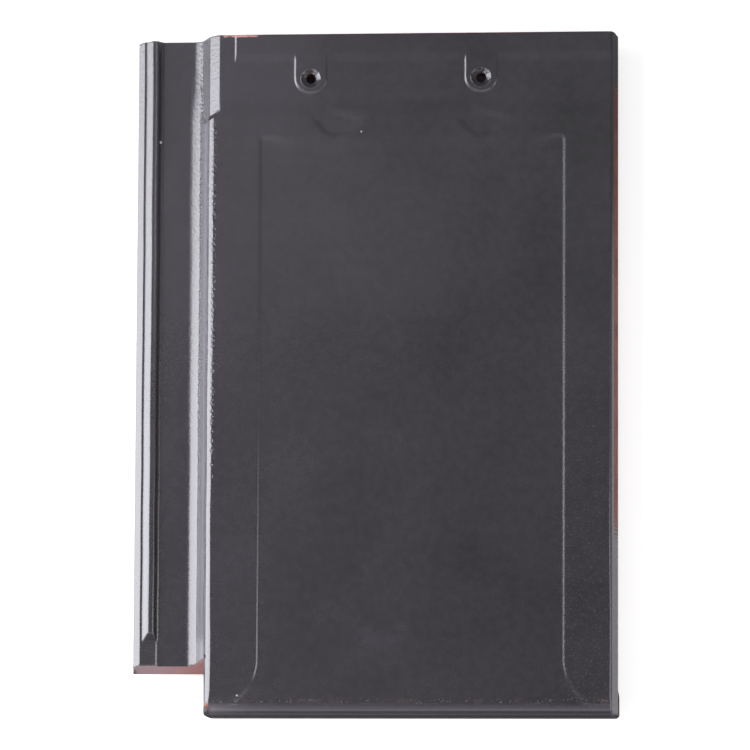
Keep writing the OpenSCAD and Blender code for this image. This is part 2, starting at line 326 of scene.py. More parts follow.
# %% Cross-section
top_profile = rounded_profile([
    (0, 14.4, 0), (4, 16.6, 1.6), (6.1, 16.6, 2), (9.3, 18.9, 3), (12.8, 18.9, 2), (15, 16, 2.5),
    (35.9, 16, 14), (39.4, 17.7, 2.5), (45.2, 24.4, 0), (45.26, 27.95, 3.6), (48.95, 30, 6),
    (296.2, 30, 2.6), (300, 22.1, 0)])
cutback_profile = rounded_profile([
    (0, 40, 0), (15.8, 40, 0), (15.82, 15.6, 0), (37.2, 15.6, 8), (40.7, 17.3, 1), (46, 25.4, 4),
    (53.5, 30, 6), (60, 30, 0), (300, 30, 0)])
under_profile = rounded_profile([
    (0, 12.9, 0), (1, 7.5, 0), (259.4, 7.5, 0), (260.9, 20.1, 0), (281.15, 20.1, 0.8), (283.15, 17.2, 0.8),
    (291.15, 17.2, 0.8), (293.15, 20.6, 0.8), (300, 20.6, 0)])
print("profile points:", top_profile.shape[1], cutback_profile.shape[1], under_profile.shape[1])

# %% [markdown]
# ## The relief of the face
# The face is not plain. A wide panel is sunk by less than a millimetre and opens into a strip along the
# foot, a bar near the head lets water through two funnel-shaped gaps, and each nail hole sits in a raised
# U-shaped land. Each of these is a mask between 0 and 1, made from the distance to its edge. The deepest
# mask wins where they meet.

# %% Relief masks
def beside(u, v, p, q):
    """Distance of a place to the right of the line from p to q."""
    along = np.subtract(q, p) / np.hypot(*np.subtract(q, p))
    return (u - p[0]) * along[1] - (v - p[1]) * along[0]


def corner_distance(a, b, radius):
    """Distance inside two edges that meet in a rounded corner, from the distances a and b to each edge."""
    round_part = radius - np.hypot(np.minimum(a - radius, 0), np.minimum(b - radius, 0))
    return np.where(np.minimum(a, b) < radius, np.minimum(round_part, np.minimum(a, b)), np.minimum(a, b))


def panel_mask(u, v):
    """1 in the sunk panel: straight sides that flare out in arcs of 30 mm near the foot, and a rounded head.

    Its right edge runs out more gently than its left one, and its head edge is steeper near the corners.
    """
    rise = np.clip((foot_strip + 20 - v) / flare_r, 0, 0.64)
    slant = np.sqrt(1 - rise ** 2)
    spread = flare_r * (1 - slant) + np.maximum(foot_strip + 20 - 0.64 * flare_r - v, 0) * 0.83
    side = np.minimum((u - panel_x0 + spread) * 1.2, (panel_x1 + 1 + spread - u) * 0.8) * slant
    head_run = 4 + 8 * soft_step(np.minimum(u - panel_x0, panel_x1 - u) - 4, 20)
    head = (panel_y1 - v) * relief_run / head_run
    return soft_step(corner_distance(side, head, 3.0), relief_run)


def zone_mask(u, v):
    """1 in the foot strip, in the zone between bar and head strip, and in the two drain gaps of the bar.

    A gap is the part between two slanting lines; its edges run out further above and below the bar.
    """
    strip = np.maximum(soft_step(head_strip_y - v, cross_run - 4), soft_step(head_strip_x - u, 1.1))
    head = soft_step(v - panel_y1 - bar_w, cross_run) * strip
    mask = np.maximum(soft_step(foot_strip - v, cross_run), head)
    bar_top = panel_y1 + bar_w
    for middle in gap_middles:
        left = beside(u, v, (middle - gap_half, panel_y1), (middle - gap_half_wide, bar_top))
        right = beside(u, v, (middle + gap_half_wide, bar_top), (middle + gap_half, panel_y1))
        run = 4.5 + 14 * soft_step(np.abs(v - panel_y1 - bar_w / 2) - 3, 8)
        gap = soft_step(np.minimum(left, right * 0.5), run)
        mask = np.maximum(mask, gap * (v > panel_y1 - cross_run) * (v < bar_top + cross_run))
    return mask


def land_mask(u, v):
    """1 on the U-shaped lands: a half disc below each hole and straight sides that run into the head strip.

    The edge of the half disc runs out further the lower it lies.
    """
    mask = np.zeros_like(u)
    for x in hole_x:
        below = np.hypot(u - x, np.minimum(v - hole_y, 0))
        run = 1.2 + 2 * np.clip((hole_y - v) / 10, 0, 1) ** 2
        mask = np.maximum(mask, soft_step(land_r - below, run) * (v > hole_y - 12))
    return mask


middle_of_tile = np.array(tile_w / 2), np.array(tile_l / 2)
print("in the middle of the tile the panel mask is", panel_mask(*middle_of_tile))

# %% [markdown]
# ## The top as a height above each place
# The top is a function of two parameters: for a place across the tile and a place up the slope it gives a
# height. The cross-section is carried along the tile, and then each cut takes the lower of two heights:
# the bullnose at the foot, the sloping end of the channel, the end of the upstand, the cut-back corner,
# the relief and the countersinks. Slow waves of a few tenths of a millimetre stand for the way clay moves
# as it dries and fires.

# %% Top surface
def nose_height(v):
    """Height of the bullnose: a quarter circle of 6.5 mm that starts upright at the foot."""
    return tile_h - nose_r + np.sqrt(np.maximum(nose_r ** 2 - np.maximum(nose_r - v, 0) ** 2, 0))


def foot_bead(u, v):
    """A roll of glaze about 8 mm from the foot and 0.1 mm high, which wanders and swells along it."""
    middle = 8.3 + 0.9 * rolling(u, 0 * v, 46, 3)
    swell = 0.05 + 0.07 * rolling(u, 0 * v, 17, 4)
    return np.maximum(swell, 0) * np.exp(-((v - middle) / 1.1) ** 2)


def top_height(u, v):
    """Height of the top above the resting plane, in millimetres."""
    wander = 0.16 * rolling(0 * u, v, 55, 1) * soft_step(u, 4) * soft_step(296 - u, 4)
    wander = np.where(np.abs(u - plate_x) < 0.3, 0, wander)
    height = np.interp(u + wander, *top_profile)
    end_line = np.interp(u, (43.0, 53.5), (368.5, 374.0))
    bevel = np.minimum(height, np.interp(u, *cutback_profile))
    run = np.interp(u, (39, 43), (40.0, 3.0))
    height = height + (bevel - height) * soft_step(v - end_line, run)
    ledge = np.interp(u, (0, 13.9, 15.4, 15.8, tile_w), (ledge_z, ledge_z, 16, above_all, above_all))
    height = np.minimum(height, ledge + np.maximum(v - upstand_foot, 0) * 0.46)
    sunk = np.maximum(panel_mask(u, v), zone_mask(u, v)) * (1 - land_mask(u, v)) * relief
    face = tile_h - sunk - 0.10 - 0.10 * rolling(u, v, 120, 2) + foot_bead(u, v)
    height = np.minimum(height, np.where(u > plate_x, face, above_all))
    height = np.minimum(height, np.where(u > plate_x, nose_height(v), above_all))
    off = np.minimum(np.hypot(u - hole_x[0], v - hole_y), np.hypot(u - hole_x[1], v - hole_y))
    sink = tile_h - sink_depth * np.clip((sink_r - off) / (sink_r - hole_r), 0, 1)
    height = np.where(off < sink_r, np.minimum(height, sink), height)
    edge = 1 - np.clip(tile_l - v, 0, 1)
    height = height - (1 - np.sqrt(np.maximum(1 - edge ** 2, 0)))
    end = under_z + (v - channel_foot) / foot_slope
    return np.where((u <= plate_x) & (v >= channel_foot), np.minimum(height, end), height)


print("height in the middle of the face", top_height(*middle_of_tile).round(2), "mm")

# %% [markdown]
# ## The underside as a height below each place
# Nobody sees the underside on a roof, but the part is turned over in a library. Such tiles have two
# hollows that save clay, a lip under the nose, two nibs that hook over the batten, and a groove with a
# hanging rib under the cover lap. The same idea works here, with the higher or lower of two heights for
# each feature.

# %% Underside
def under_height(u, v):
    """Height of the underside above the resting plane, in millimetres."""
    height = np.interp(u, *under_profile)
    side = np.minimum(u - hollow_x[0], hollow_x[1] - u)
    for low, high in hollows_y:
        inside = corner_distance(side, np.minimum(v - low, high - v), 6.0)
        height = np.where(inside > 0, under_z + hollow_depth * np.clip(inside / 4, 0, 1), height)
    lip = np.where(v < 1.5, 1.5 - v, np.maximum(v - 13, 0) * 5.275)
    height = np.where(u >= plate_x, np.minimum(height, lip), height)
    for middle in nib_middles:
        flank = (np.abs(u - middle) - nib_half) * 2.5
        ends = np.maximum((407 - v) * 60, (v - 416) * 5)
        height = np.minimum(height, np.maximum(np.maximum(flank, ends), 0))
    return height


rib_depth = top_height(*middle_of_tile) - under_height(*middle_of_tile)
print("clay between the face and the rib at mid length:", rib_depth.round(2), "mm")

# %% [markdown]
# ## A grid that is fine where the shape is fine
# An even grid would waste points on the flat face. Each list below gives a place and the spacing of the
# lines from there on, so lines crowd where the channel, the nose or the relief bends. The underside uses
# a thinner choice of the same lines, because a wall between the two rims needs points that lie above each
# other.

# %% Grid lines
def lines(stops):
    """Places of grid lines: each stop is (place, spacing from there on), and the last one ends the row."""
    places = [start for start, spacing in stops]
    parts = [np.linspace(a, b, max(int(np.ceil((b - a) / gap)), 1), endpoint=False)
             for (a, gap), b in zip(stops[:-1], places[1:])]
    return np.concatenate(parts + [np.array(places[-1:])])


across = lines([
    (0, 0.3), (1, 0.55), (4, 0.3), (5.7, 0.5), (9, 0.4), (10.6, 0.6), (12, 0.35), (16.6, 1.8),
    (31, 0.5), (34, 0.7), (38.6, 0.4), (41.6, 0.6), (45.1, 0.1), (45.2, 0.06), (45.26, 0.03), (45.32, 0.08),
    (45.6, 0.14), (46.2, 0.22), (47.4, 0.35), (49.8, 0.7), (57, 1.4), (61.2, 0.35), (63.6, 2.0), (76, 0.5),
    (81.5, 2.2), (99, 0.4), (101, 0.75), (102.5, 1), (116.5, 0.75), (118, 0.4), (120.2, 1.5), (146.6, 2.6),
    (198.6, 1.5), (205, 0.4), (207, 0.75), (208.5, 1), (222.5, 0.75), (224, 0.4), (226.2, 1.5), (245.4, 2),
    (259.4, 0.75), (260.9, 1.2), (263.6, 0.5), (269.1, 1.8), (281.15, 1), (283.15, 2), (291.15, 1),
    (293.15, 0.45), (293.6, 0.3), (297.6, 0.5), (300, 1)])
along = lines([
    (0, 0.25), (1.5, 0.4), (6.6, 0.5), (13, 0.5), (18, 1.4), (26.5, 0.5), (27, 0.5), (32, 0.8), (37, 1.7),
    (46, 0.6), (53, 3.4), (200.5, 2), (204.5, 3.5), (218.5, 2), (222.5, 3.4), (354, 1.2), (358, 0.55),
    (375.5, 1.4), (383, 0.8), (387, 0.7), (389, 1), (403, 1), (406.6, 0.4), (407, 1.2), (408, 0.7),
    (414.4, 1.2), (421.6, 0.4), (423, 0.2), (424, 1)])
wanted_across = lines([
    (0, 0.5), (1, 11), (45.2, 7), (59.2, 4), (63.2, 10), (86.6, 3), (89.6, 12.9), (102.5, 1), (116.5, 7.5),
    (131.6, 3), (134.6, 19), (208.5, 1), (222.5, 9.4), (241.4, 4), (245.4, 7), (258.6, 0.8), (259.4, 1.5),
    (260.9, 6), (281.15, 1), (283.15, 4), (291.15, 1), (293.15, 3.5), (300, 1)])
wanted_along = lines([
    (0, 0.5), (1.5, 4), (13, 0.5), (17, 1), (21.5, 2.8), (27, 20), (200.5, 2), (204.5, 7), (218.5, 2),
    (222.5, 20), (389, 1), (403, 1), (406.6, 0.4), (407, 3), (416, 0.8), (417.6, 1.6), (424, 1)])
thin_across = np.unique(np.abs(across[:, None] - wanted_across).argmin(0))
thin_along = np.unique(np.abs(along[:, None] - wanted_along).argmin(0))
print("top grid", across.size, "x", along.size, "and underside", thin_across.size, "x", thin_along.size)

# %% [markdown]
# ## Rims, walls and holes
# The outline is an L: at the foot the channel stops short of the nose. Both grids therefore drop the same
# corner block, and a block round each nail hole. The functions here list the grid places along a rim in
# order, so that rings of walls can join the two grids later.

# %% Rims and cells
block_reach = 7.0


def nearest(places, place):
    """Number of the grid line that lies nearest to a place."""
    return int(np.argmin(np.abs(places - place)))


def block_rim(i0, i1, j0, j1):
    """Grid places round a block, once round to the left: along the foot, up the right, back and down."""
    wide, high = i1 - i0, j1 - j0
    i = np.concatenate((np.arange(i0, i1), np.full(high, i1), np.arange(i1, i0, -1), np.full(high, i0)))
    j = np.concatenate((np.full(wide, j0), np.arange(j0, j1), np.full(wide, j1), np.arange(j1, j0, -1)))
    return i, j


def outline_rim(u_lines, v_lines):
    """Grid places round the L-shaped outline, once round to the left, from the plate's corner at the foot."""
    last_i, last_j = u_lines.size - 1, v_lines.size - 1
    side, foot = nearest(u_lines, plate_x), nearest(v_lines, channel_foot)
    i = np.concatenate((np.arange(side, last_i), np.full(last_j, last_i), np.arange(last_i, 0, -1),
                        np.full(last_j - foot, 0), np.arange(0, side), np.full(foot, side)))
    j = np.concatenate((np.full(last_i - side, 0), np.arange(0, last_j), np.full(last_i, last_j),
                        np.arange(last_j, foot, -1), np.full(side, foot), np.arange(foot, 0, -1)))
    return i, j


def hole_block(u_lines, v_lines, x):
    """First and last line of the block round a nail hole, across and along."""
    return (nearest(u_lines, x - block_reach), nearest(u_lines, x + block_reach),
            nearest(v_lines, hole_y - block_reach), nearest(v_lines, hole_y + block_reach))


def grid_cells(u_lines, v_lines):
    """Four-cornered cells between the lines, without the missing corner and the blocks round the holes."""
    number = np.arange(u_lines.size * v_lines.size).reshape(u_lines.size, v_lines.size)
    middle_u = (u_lines[:-1] + u_lines[1:]) / 2
    middle_v = (v_lines[:-1] + v_lines[1:]) / 2
    keep = (middle_u[:, None] > plate_x) | (middle_v[None] > channel_foot)
    for x in hole_x:
        outside_u = np.abs(middle_u[:, None] - x) > block_reach
        outside_v = np.abs(middle_v[None] - hole_y) > block_reach
        keep &= outside_u | outside_v
    cells = np.stack((number[:-1, :-1], number[1:, :-1], number[1:, 1:], number[:-1, 1:]), -1)
    return cells[keep]


print("cells on the top:", len(grid_cells(across, along)))

# %% [markdown]
# ## Plan corrections
# Two small moves turn the straight grid into the real plan. The outer corners are rounded by pulling the
# points of the corner square in until it becomes a quarter disc. The head end leans back, so points near
# it move down the slope, the lower they are.

# %% Plan corrections
def round_corners(u, v, radius=2.3):
    """Points of each corner square scaled by (larger offset / distance), which makes it a quarter disc."""
    plan_corners = (plate_x, 0, 1, 1), (tile_w, 0, -1, 1), (tile_w, tile_l, -1, -1), (0, tile_l, 1, -1)
    for x, y, sx, sy in plan_corners:
        a = radius - (u - x) * sx
        b = radius - (v - y) * sy
        inside = (a > 0) & (b > 0) & (a <= radius + 1e-6) & (b <= radius + 1e-6)
        scale = np.where(inside, np.maximum(a, b) / np.maximum(np.hypot(a, b), 1e-9), 1)
        u = np.where(inside, x + (radius - a * scale) * sx, u)
        v = np.where(inside, y + (radius - b * scale) * sy, v)
    return u, v


def to_frame(u, v, z):
    """Millimetres from the edges as metres of the frame, with rounded corners and the leaning head."""
    x, y = round_corners(u, v)
    lean = 4.5 * np.clip((27.5 - z) / 27.5, 0, 1) * np.clip((v - 417) / 7, 0, 1)
    return np.stack((x - tile_w / 2, y - lean - tile_l / 2, z), -1).reshape(-1, 3) * 0.001


middle_of_face = to_frame(*middle_of_tile, top_height(*middle_of_tile))
print("the middle of the face lies at", middle_of_face.round(4), "in the frame")

# %% [markdown]
# ## Putting the skin together
# All points are collected in one list with their height, place and a word on which surface they belong
# to. Faces are index arrays with an offset for each group of points, so no loop ever runs over single
# points. Points that fall together, such as along the channel's foot, are merged at the end.

# %% Collect the points
class Skin:
    """Collects groups of points (across, along, height, kind) and faces between them."""

    def __init__(self):
        self.points = []
        self.faces = []
        self.count = 0

    def add(self, u, v, z, kind):
        u, v, z = np.broadcast_arrays(u, v, z)
        first = self.count
        self.points.append(np.stack((u.ravel(), v.ravel(), z.ravel(), np.full(u.size, kind)), 1))
        self.count += u.size
        return first + np.arange(u.size).reshape(u.shape)

    def band(self, near, far):
        """Faces between two closed rings of equally many points."""
        near_next, far_next = np.roll(near, -1), np.roll(far, -1)
        self.faces.append(np.stack((near, near_next, far_next, far), 1))


TOP, WALL, UNDER, BORE = 0, 1, 2, 3
skin = Skin()
grid_u, grid_v = np.meshgrid(across, along, indexing="ij")
top_id = skin.add(grid_u, grid_v, top_height(grid_u, grid_v), TOP)
skin.faces.append(top_id.ravel()[grid_cells(across, along)])
low_u, low_v = np.meshgrid(across[thin_across], along[thin_along], indexing="ij")
under_id = skin.add(low_u, low_v, under_height(low_u, low_v), UNDER)
skin.faces.append(under_id.ravel()[grid_cells(across[thin_across], along[thin_along])][:, ::-1])

rim = outline_rim(across, along)
rim_u, rim_v = across[rim[0]], along[rim[1]]
rim_top, rim_low = top_height(rim_u, rim_v), under_height(rim_u, rim_v)
ring = top_id[rim]
for share in (0.06, 0.2, 0.4, 0.6, 0.8, 0.94, 1.0):
    lower = skin.add(rim_u, rim_v, rim_top + (rim_low - rim_top) * share, WALL)
    skin.band(lower, ring)
    ring = lower

# %% [markdown]
# ## Joining the fine rim to the thin one
# The lowest ring of the wall has more points than the rim of the underside. Each point of the fine ring
# belongs to the thin point before it, so one row of triangles stands on the fine ring and a second row on
# the thin one. Together they close the gap without a point in the middle of an edge.

# %% Join the thinner rim below
thin_rim = outline_rim(across[thin_across], along[thin_along])
place_of = np.full((across.size, along.size), -1)
place_of[rim] = np.arange(rim[0].size)
spots = place_of[thin_across[thin_rim[0]], thin_along[thin_rim[1]]]
low_ring = under_id[thin_rim]
owner = np.searchsorted(spots, np.arange(ring.size), side="right") - 1
skin.faces.append(np.stack((ring, low_ring[owner], np.roll(ring, -1)), 1))
skin.faces.append(np.stack((low_ring, np.roll(low_ring, -1), ring[np.roll(spots, -1)]), 1))
print("rim points", ring.size, "above and", low_ring.size, "below")

# %% [markdown]
# ## Nail holes
# A real hole is pierced while the clay is soft and ends in a countersink. A boolean cut would leave long
# thin faces round it, so rings of points are used instead: from the square of the grid block to a circle,
# down the countersink, through the bore and out to the block of the underside.

# %% Nail holes
for x in hole_x:
    i0, i1, j0, j1 = hole_block(across, along, x)
    square = block_rim(i0, i1, j0, j1)
    square_u, square_v = across[square[0]], along[square[1]]
    turn_u, turn_v = square_u - x, square_v - hole_y
    far = np.hypot(turn_u, turn_v)
    turn_u, turn_v = turn_u / far, turn_v / far
    ring = top_id[square]
    for distance in (0.5 * (far + 6.8), 6.8, 6.45, 6.2, 5.9, 5.2, 4.5, 3.8, 3.25, hole_r):
        u, v = x + turn_u * distance, hole_y + turn_v * distance
        inner = skin.add(u, v, top_height(u, v), TOP if np.min(distance) > 3.2 else BORE)
        skin.band(ring, inner)
        ring = inner
    u, v = x + turn_u * hole_r, hole_y + turn_v * hole_r
    for height in (26.5, 24, 21, 18.5):
        inner = skin.add(u, v, height, BORE)
        skin.band(ring, inner)
        ring = inner
    i0, i1, j0, j1 = hole_block(across[thin_across], along[thin_along], x)
    below = under_id[block_rim(i0, i1, j0, j1)]
    for distance in (hole_r, 3.4, 4.6, 0.5 * (far + 5.5)):
        u, v = x + turn_u * distance, hole_y + turn_v * distance
        inner = skin.add(u, v, under_height(u, v), UNDER)
        skin.band(ring, inner)
        ring = inner
    skin.band(ring, below)
print("points", skin.count)

# %% [markdown]
# ## Where the clay is bare
# Glaze was sprayed on the face only. The underside, the end of the channel, the head edge and a band
# along the right edge stayed red-brown clay, and a small chip at the foot shows fresh orange clay. The
# `bare` attribute is 1 there and falls to 0 over a few millimetres, so that the material can break the
# border up with noise. The `pale` attribute marks a stretch of the head edge with lighter clay.

# %% Bare clay
u, v, z, kind = np.concatenate(skin.points).T
on_top = kind == TOP
on_plate = u > plate_x
window = soft_step(v - 84, 60) * soft_step(398 - v, 20)
right_band = soft_step(u - 297.2, 1.0) * window
past_end = v < channel_foot + foot_slope * (z - under_z) + 0.05
cut_end = ((u <= plate_x) & (v > channel_foot - 0.05) & past_end).astype(float)
pale = soft_step(u - 52, 4) * soft_step(82 - u, 8) * soft_step(v - 420, 2) * soft_step(z - 27, 1.5)
head_line = 0.62 * soft_step(v - 422.9, 0.8)
pale_line = 0.52 * soft_step(v - 421.2, 1.4) * pale
head_edge = np.maximum(head_line, pale_line) * on_plate
bare_top = np.max((right_band, cut_end, head_edge), 0)
glazed_front = soft_step(z - 3, 4) * soft_step(3 - v, 2)
glazed_left = soft_step(z - 12, 6) * (np.abs(u - plate_x) < 4) * (v < 28)
glazed_right = np.maximum(soft_step(z - 20.5, 1) * (1 - window), soft_step(z - 3, 4) * (v < 30)) * (u > 299)
bare_wall = 1 - np.clip(glazed_front + glazed_left + glazed_right, 0, 1)
bare = np.select((on_top, kind == WALL, kind == UNDER), (bare_top, bare_wall, np.ones_like(u)), 0.0)
chip = np.clip(1.25 - np.hypot((u - 47.5) / 1.5, (v - 6.6) / 2.2), 0, 1) * on_top
inside_bore = (kind == BORE).astype(float)
print("bare points", int((bare > 0.5).sum()), "of", u.size)

# %% [markdown]
# ## Painted shade and painted highlights
# The first mask here marks the lower half of the nose, the foot's left corner, the right edge near the
# head, the start of the upstand and the walls. There the glaze has no gloss, and where it is glazed it is
# painted darker, which is painted shade. Four more attributes paint light as a lighter colour: a
# highlight band on the nose, a highlight on the corner beside the chip, the reflection on the steep step
# up to the plate and a highlight on the lower half of the right edge. Each is a bell or a soft step in
# millimetres, which is easier to move about than a painted mask.

# %% Painted shade and painted highlights
# Painted shade: these masks make the glaze matt and darker on the shadowed lower nose, the corners, the kerb
# and the walls.
shaded_nose = soft_step(2.6 - v, 2.4) * on_plate
shaded_right_corner = 0.75 * soft_step(u - 295.8, 1.0) * soft_step(v - 250, 90)
shaded_kerb = 0.6 * np.exp(-((v - upstand_foot) / 1.0) ** 2) * (u > 6.8) * (u < 15.4)
corner_wrap = 0.85 * soft_step(51 - u, 3) * soft_step(7.5 - v, 2.5) * (u > plate_x - 1)
dull_and_shaded_top = np.max((shaded_nose, shaded_right_corner, shaded_kerb, corner_wrap), 0)
dull_and_shaded_wall = 1 - 0.85 * (np.abs(u - plate_x) < 0.5) * soft_step(v - 2, 5)
dull_and_shaded = np.select((on_top, kind == WALL), (dull_and_shaded_top, dull_and_shaded_wall), 0.0)
# Painted highlights and a painted reflection: masks for the nose band, the corner by the chip, the steep step
# and the lower right edge.
nose_highlight = np.exp(-((v - 4.7) / 2.0) ** 2) * on_plate * on_top
corner_highlight = np.exp(-((v - 4.2) / 2.4) ** 2 - np.maximum(u - 47, 0) / 14) * on_plate * on_top
step_reflection = np.exp(-((u - 43.6) / 1.5) ** 2) * soft_step(373 - v, 6) * on_top
right_edge_highlight = soft_step(u - 295.2, 1.2) * (1 - soft_step(v - 140, 200)) * on_top
print("dull points", int((dull_and_shaded > 0.5).sum()), "of", u.size)

# %% [markdown]
# ## Where glaze gathers
# Melted glaze draws together into small drops. The `beads` attribute marks the line near the foot where
# drops stopped, and `edge_beads` the glossy edges on both sides of the steep step and the countersinks.
# The `sloped` attribute is 1 on every slope near the channel and the holes, where orange peel shows most.
# The slope is measured from the heights a little to each side, so it follows any change of the profile.

# %% Beads and slopes
beads = np.exp(-((v - 9.2) / 1.4) ** 2) * on_plate * on_top
aside = 0.4
rise_across = top_height(u + aside, v) - top_height(u - aside, v)
rise_along = top_height(u, v + aside) - top_height(u, v - aside)
steepness = np.hypot(rise_across, rise_along) / (2 * aside)
off_hole = np.hypot(np.minimum(np.abs(u - hole_x[0]), np.abs(u - hole_x[1])), v - hole_y)
sloped = np.clip(steepness / 0.2, 0, 1) * ((u < 56) | (off_hole < block_reach)) * on_top
step_foot = np.exp(-((u - 39.9) / 0.9) ** 2)
step_head = np.exp(-((u - 49.5) / 0.9) ** 2) * soft_step(370 - v, 4)
sink_ring = 0.6 * np.exp(-((off_hole - 5) / 1.2) ** 2)
edge_beads = ((step_foot + step_head) * soft_step(v - 90, 120) + sink_ring) * on_top
print("sloped points", int((sloped > 0.5).sum()), "of", u.size)

# %% [markdown]
# ## The mesh
# Points that no face uses, inside the blocks of the holes and in the missing corner, are left out, and
# the masks become attributes of the points that stay. Then points that fall together are merged, and the
# sum of edges with only one face shows whether the skin is closed. Edges sharper than 48 degrees stay
# sharp in the shading.

# %% Make the mesh
chip_depth = 0.2
masks = {"bare": bare, "chip": chip, "dull_and_shaded": dull_and_shaded, "beads": beads, "pale": pale, "nose_highlight": nose_highlight,
         "sloped": sloped, "edge_beads": edge_beads, "cut_end": cut_end, "step_reflection": step_reflection,
         "right_edge_highlight": right_edge_highlight, "corner_highlight": corner_highlight, "inside_bore": inside_bore}
used = np.unique(np.concatenate([group.ravel() for group in skin.faces]))
new_number = np.zeros(skin.count, int)
new_number[used] = np.arange(used.size)
points = to_frame(u, v, z - chip_depth * chip)[used]
corners = [face for group in skin.faces for face in new_number[group].tolist()]
tile_mesh = bpy.data.meshes.new("glazed_tile")
tile_mesh.from_pydata(points.tolist(), [], corners)
for name, values in masks.items():
    layer = tile_mesh.attributes.new(name, "FLOAT", "POINT")
    layer.data.foreach_set("value", values[used].astype(np.float32))
shell = bmesh.new()
shell.from_mesh(tile_mesh)
bmesh.ops.remove_doubles(shell, verts=shell.verts, dist=4e-6)
bmesh.ops.recalc_face_normals(shell, faces=shell.faces)
open_edges = sum(not edge.is_manifold for edge in shell.edges)
volume = shell.calc_volume()
shell.to_mesh(tile_mesh)
shell.free()
tile_mesh.polygons.foreach_set("use_smooth", np.ones(len(tile_mesh.polygons), bool))
tile_mesh.set_sharp_from_angle(angle=np.radians(48))
tile_mesh.calc_loop_triangles()
triangles = len(tile_mesh.loop_triangles)
print("triangles", triangles, "open edges", open_edges, "volume", round(volume * 1e6, 1), "cm3")

tile = bpy.data.objects.new("glazed_tile", tile_mesh)
bpy.context.scene.collection.objects.link(tile)
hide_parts("roof_tile")
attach(tile, "root")

# %% [markdown]
# ## Glaze and clay
# A glaze is a thin coat of coloured glass. Its colour drifts from place to place, fine orange peel breaks
# up its reflections, and it is rougher near the head, where it was sprayed thinner, than near the foot.
# Bare clay is matt, red-brown and grainy. One material holds both, with the attributes as masks, because
# the real border between them is ragged: noise is added to the mask before it is cut off.

# %% Glaze and clay material
finish = bpy.data.materials.new("slate_glaze_on_clay")
tree = Tree(finish)
place = tree.node("ShaderNodeTexCoord", None, None, "Object")
across_tile, up_slope = (tree.node("ShaderNodeSeparateXYZ", None, {0: place}, axis) for axis in "XY")


def attribute(name):
    """The value of one of the mesh's own attributes."""
    return tree.node("ShaderNodeAttribute", {"attribute_name": name}, None, "Fac")


def spot(u, v, z, radius):
    """1 at a place given in millimetres from left edge, foot and resting plane, and 0 from the radius on."""
    middle = ((u - tile_w / 2) * 0.001, (v - tile_l / 2) * 0.001, z * 0.001)
    away = tree.node("ShaderNodeVectorMath", {"operation": "DISTANCE"}, {0: place, 1: middle}, "Value")
    return 1 - tree.step(away, radius * 0.0004, radius * 0.001)


fine = tree.noise(place, 900, 3, 0.6)
grain = tree.noise(place, 2600, 2, 0.6)
cloud = tree.noise(place, 14, 3, 0.55)
patch = tree.noise(place, 70, 3, 0.6)
drop = tree.noise(place, 760, 1, 0.4)
ripple = tree.node("ShaderNodeMath", {"operation": "SINE"}, {0: up_slope * 2500})
ticks = ripple * 0.16 * tree.step(across_tile, 0.144, 0.146)
clay = tree.step(attribute("bare") + (patch - 0.5) * 0.5 + (fine - 0.5) * 0.5 + ticks, 0.42, 0.58)
chipped = tree.step(attribute("chip") + (fine - 0.5) * 0.9, 0.25, 0.8)
scar = spot(46.0, 37.0, 28.0, 1.7) * 0.85
dull_and_shaded = tree.node("ShaderNodeMath", {"operation": "MAXIMUM"}, {0: attribute("dull_and_shaded"), 1: scar})
print("glaze and clay masks made")

# %% [markdown]
# ## Colours of glaze and clay
# The glaze is slate grey with a breath of violet. It is painted lighter towards the channel and darker
# towards the right edge, a painted fall-off of the light that comes from the left. Two sizes of mottling
# keep it from looking painted. Sparse pale specks lie near the foot on the right, where dust stuck to the
# wet glaze, and a few single spots are set one by one. The clay is redder where it is thick, greyer
# towards the outer edge of the cut end of the channel, and darker towards the head. Every colour is a mix
# of two others by a mask, so one mask can be changed without touching the rest. Four lighter colours are
# painted highlights and a painted reflection: on the nose, at the corner by the chip, on the steep step and
# on the lower right edge.

# %% Glaze colours
painted_lit_glaze = linear(42, 38, 44)
painted_shaded_glaze = linear(25, 22, 27)
cloud_and_highlight_grey = linear(84, 80, 88)
mottle_light = linear(98, 94, 104)
mottle_dark = linear(34, 32, 36)
speck_grey = linear(128, 125, 134)
stain_brown = linear(92, 68, 64)
smear_grey = linear(92, 90, 100)
corner_highlight_grey = linear(116, 109, 116)
step_reflection_grey = linear(122, 118, 128)
edge_highlight_grey = linear(98, 94, 110)
pimple_white = linear(214, 214, 220)

# Painted shade: the glaze gets darker from left to right, in place of the fall-off of the light from the
# left.
glaze = tree.mix(tree.step(across_tile, -0.085, 0.10), painted_lit_glaze, painted_shaded_glaze)
glaze = tree.mix(tree.step(cloud, 0.3, 0.7) * 0.12, glaze, cloud_and_highlight_grey)
glaze = tree.mix(tree.step(tree.noise(place, 170, 2, 0.5), 0.35, 0.65) * 0.06, glaze, cloud_and_highlight_grey)
low_right = tree.step(across_tile, 0.106, 0.122) * (1 - tree.step(up_slope, -0.10, 0.08))
mottle = 0.2 + 0.45 * low_right
glaze = tree.mix(tree.step(fine, 0.50, 0.72) * 0.22 * mottle, glaze, mottle_light)
glaze = tree.mix(tree.step(fine, 0.50, 0.30) * 0.35 * mottle, glaze, mottle_dark)
specks = tree.step(drop, 0.64, 0.70) * (0.01 + 0.08 * low_right + 0.4 * attribute("beads"))
glaze = tree.mix(specks, glaze, speck_grey)
stain = attribute("beads") * tree.step(patch, 0.50, 0.62) * 0.25
glaze = tree.mix(stain, glaze, stain_brown)
smear = spot(152.5, 53, 29.2, 22) * tree.step(patch, 0.4, 0.7) * 0.10
glaze = tree.mix(smear, glaze, smear_grey)
